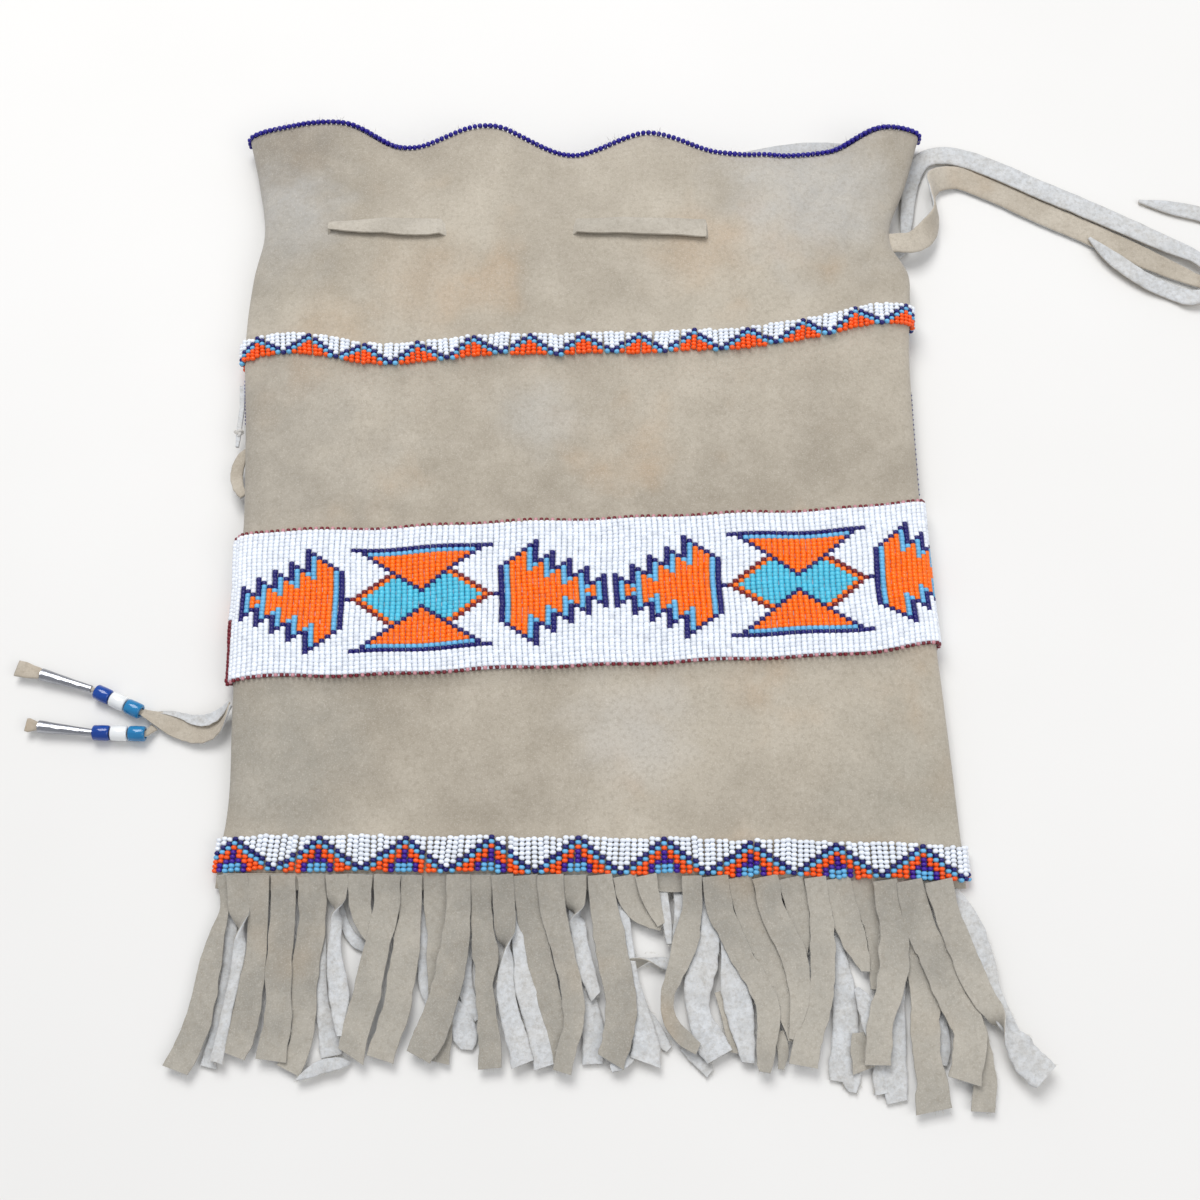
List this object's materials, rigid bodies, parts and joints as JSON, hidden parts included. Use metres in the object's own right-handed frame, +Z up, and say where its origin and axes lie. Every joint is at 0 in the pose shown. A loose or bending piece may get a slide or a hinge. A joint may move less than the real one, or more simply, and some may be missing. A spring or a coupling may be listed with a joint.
{
  "type": "beaded medicine bag",
  "caption": "Soft buckskin drawstring bag with woven and sewn seed-bead bands, a beaded mouth, a cut fringe, a knotted leather drawstring and beaded ties with tin cones.",
  "frame": {"origin": "bottom centre of the box of the bag lying on its back, measured without its free thongs", "axes": "+Z up out of the beaded front, +Y from the fringe to the mouth, +X to the folded side where the drawstring leaves"},
  "size_m": [0.4737, 0.3854, 0.0224],
  "materials": {
    "buckskin": "smoked brain-tanned hide, napped suede side out, with lighter rubbed patches and faint stains",
    "thong_leather": "tan suede thong, flesh side paler and greyer",
    "mouth_beads": "opaque indigo seed beads, glossy",
    "band_beads": "opaque seed beads in white with orange, turquoise, light blue, navy and dark red geometric figures",
    "seam_beads": "small opaque edge beads in white and dark blue",
    "teal_glass": "opaque teal-blue crow bead, glossy",
    "white_glass": "opaque white crow bead, glossy",
    "royal_glass": "royal blue crow bead, glossy",
    "tin": "rolled tin cone, bright with dents"
  },
  "bodies": {
    "root": {"buckskin_pouch": "buckskin", "mouth_edging": "mouth_beads", "left_seam_edging": "seam_beads", "right_fold_edging": "seam_beads", "upper_lane_band": "band_beads", "loom_band": "band_beads", "lower_lane_band": "band_beads", "drawstring_threaded": "thong_leather", "drawstring_front_strap": "thong_leather", "drawstring_back_strap": "thong_leather", "drawstring_knot": "thong_leather", "drawstring_low_tail": "thong_leather", "drawstring_high_tail": "thong_leather", "upper_tie_loop": "thong_leather", "upper_tie_thread": "thong_leather", "upper_tie_knot": "thong_leather", "lower_tie_stem": "thong_leather", "first_tail_thong": "thong_leather", "second_tail_thong": "thong_leather", "first_tail_teal_bead": "teal_glass", "second_tail_teal_bead": "teal_glass", "first_tail_white_bead": "white_glass", "second_tail_white_bead": "white_glass", "first_tail_royal_bead": "royal_glass", "second_tail_royal_bead": "royal_glass", "first_tail_cone": "tin", "second_tail_cone": "tin"}
  },
  "joints": []
}
